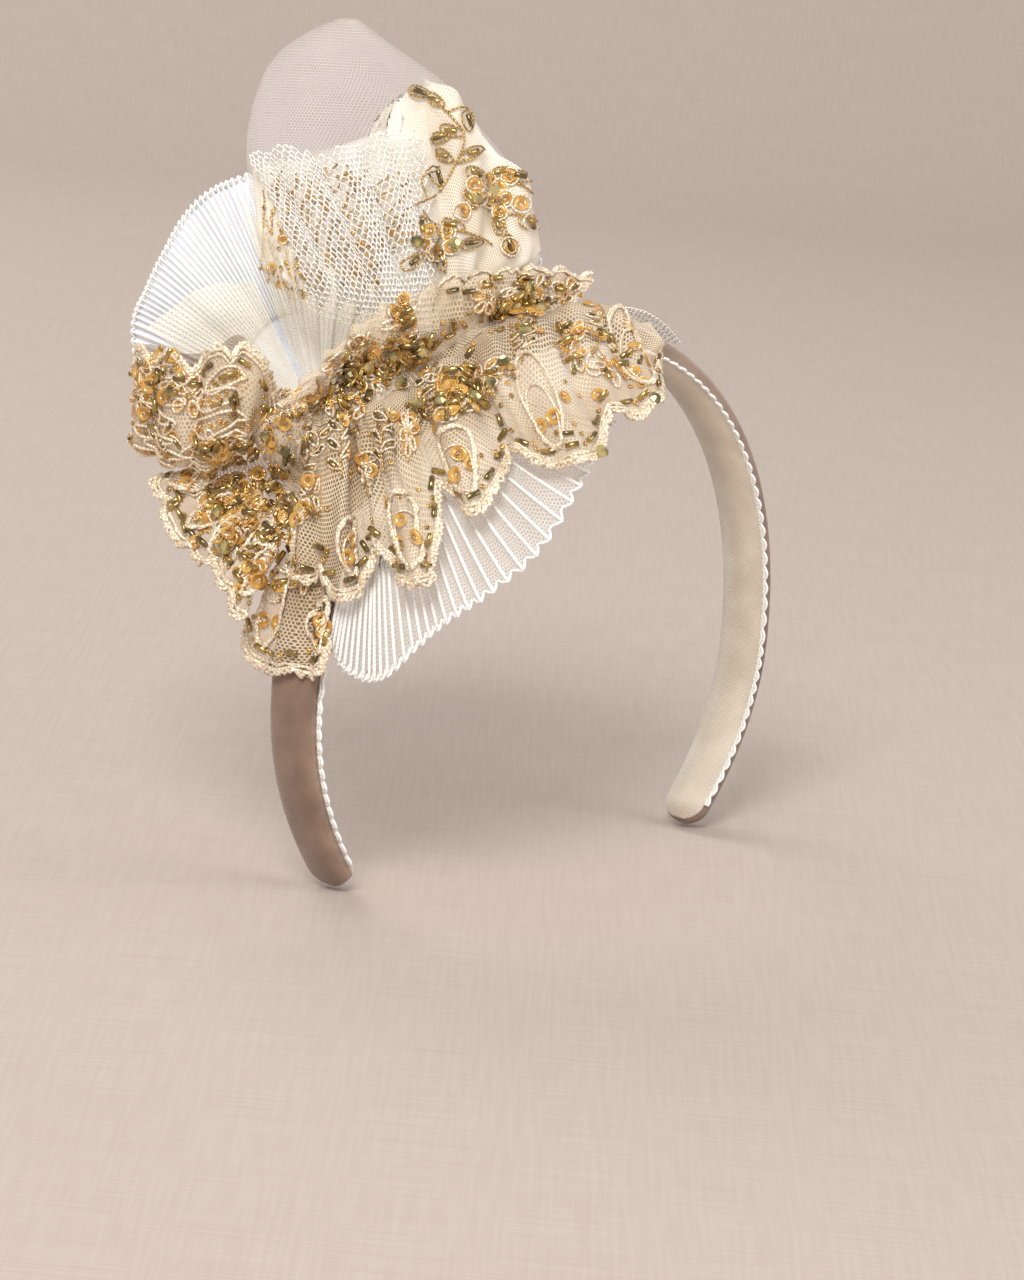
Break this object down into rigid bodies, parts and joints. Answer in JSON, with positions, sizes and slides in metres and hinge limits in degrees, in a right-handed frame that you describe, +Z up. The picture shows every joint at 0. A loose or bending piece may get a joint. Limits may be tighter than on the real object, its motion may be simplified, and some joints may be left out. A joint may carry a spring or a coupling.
{
  "type": "tulle headband",
  "caption": "Fabric-covered headband carrying pleated white tulle fans, a standing ivory tulle puff and gathered beaded gold lace ruffles on the wearer's right.",
  "frame": {"origin": "underside of the band's crown, on its middle line, where it rests on the wearer's head", "axes": "+Z up, the wearer faces -Y, +X is the wearer's left; the band lies in the XZ plane"},
  "size_m": [0.1897, 0.1341, 0.2135],
  "materials": {
    "cover": "dusty rose-taupe twill satin",
    "lining": "cream woven facing",
    "white_tulle": "white pleated net",
    "ivory_tulle": "ivory net",
    "beaded_lace": "beige net with gold cord and beads",
    "crystal": "faceted smoky olive crystal"
  },
  "bodies": {
    "root": {"band": "cover", "band_lining": "lining", "knot": "beaded_lace", "rear_fan": "white_tulle", "front_fan": "white_tulle", "fan_underlay": "ivory_tulle", "puff": "ivory_tulle", "veil": "white_tulle", "sprig_panel": "ivory_tulle", "lace_crest": "beaded_lace", "lace_frill": "beaded_lace", "lace_roll": "beaded_lace", "lace_drape": "beaded_lace", "lace_tail": "beaded_lace", "net_edge": "white_tulle", "crystal_01": "crystal", "crystal_02": "crystal", "crystal_03": "crystal", "crystal_04": "crystal", "crystal_05": "crystal", "crystal_06": "crystal", "crystal_07": "crystal", "crystal_08": "crystal", "crystal_09": "crystal", "crystal_10": "crystal", "crystal_11": "crystal", "crystal_12": "crystal", "crystal_13": "crystal", "crystal_14": "crystal", "crystal_15": "crystal", "crystal_16": "crystal", "crystal_17": "crystal", "crystal_18": "crystal", "crystal_19": "crystal", "crystal_20": "crystal", "crystal_21": "crystal", "crystal_22": "crystal", "crystal_23": "crystal", "crystal_24": "crystal", "crystal_25": "crystal", "crystal_26": "crystal", "crystal_27": "crystal", "crystal_28": "crystal"}
  },
  "joints": []
}
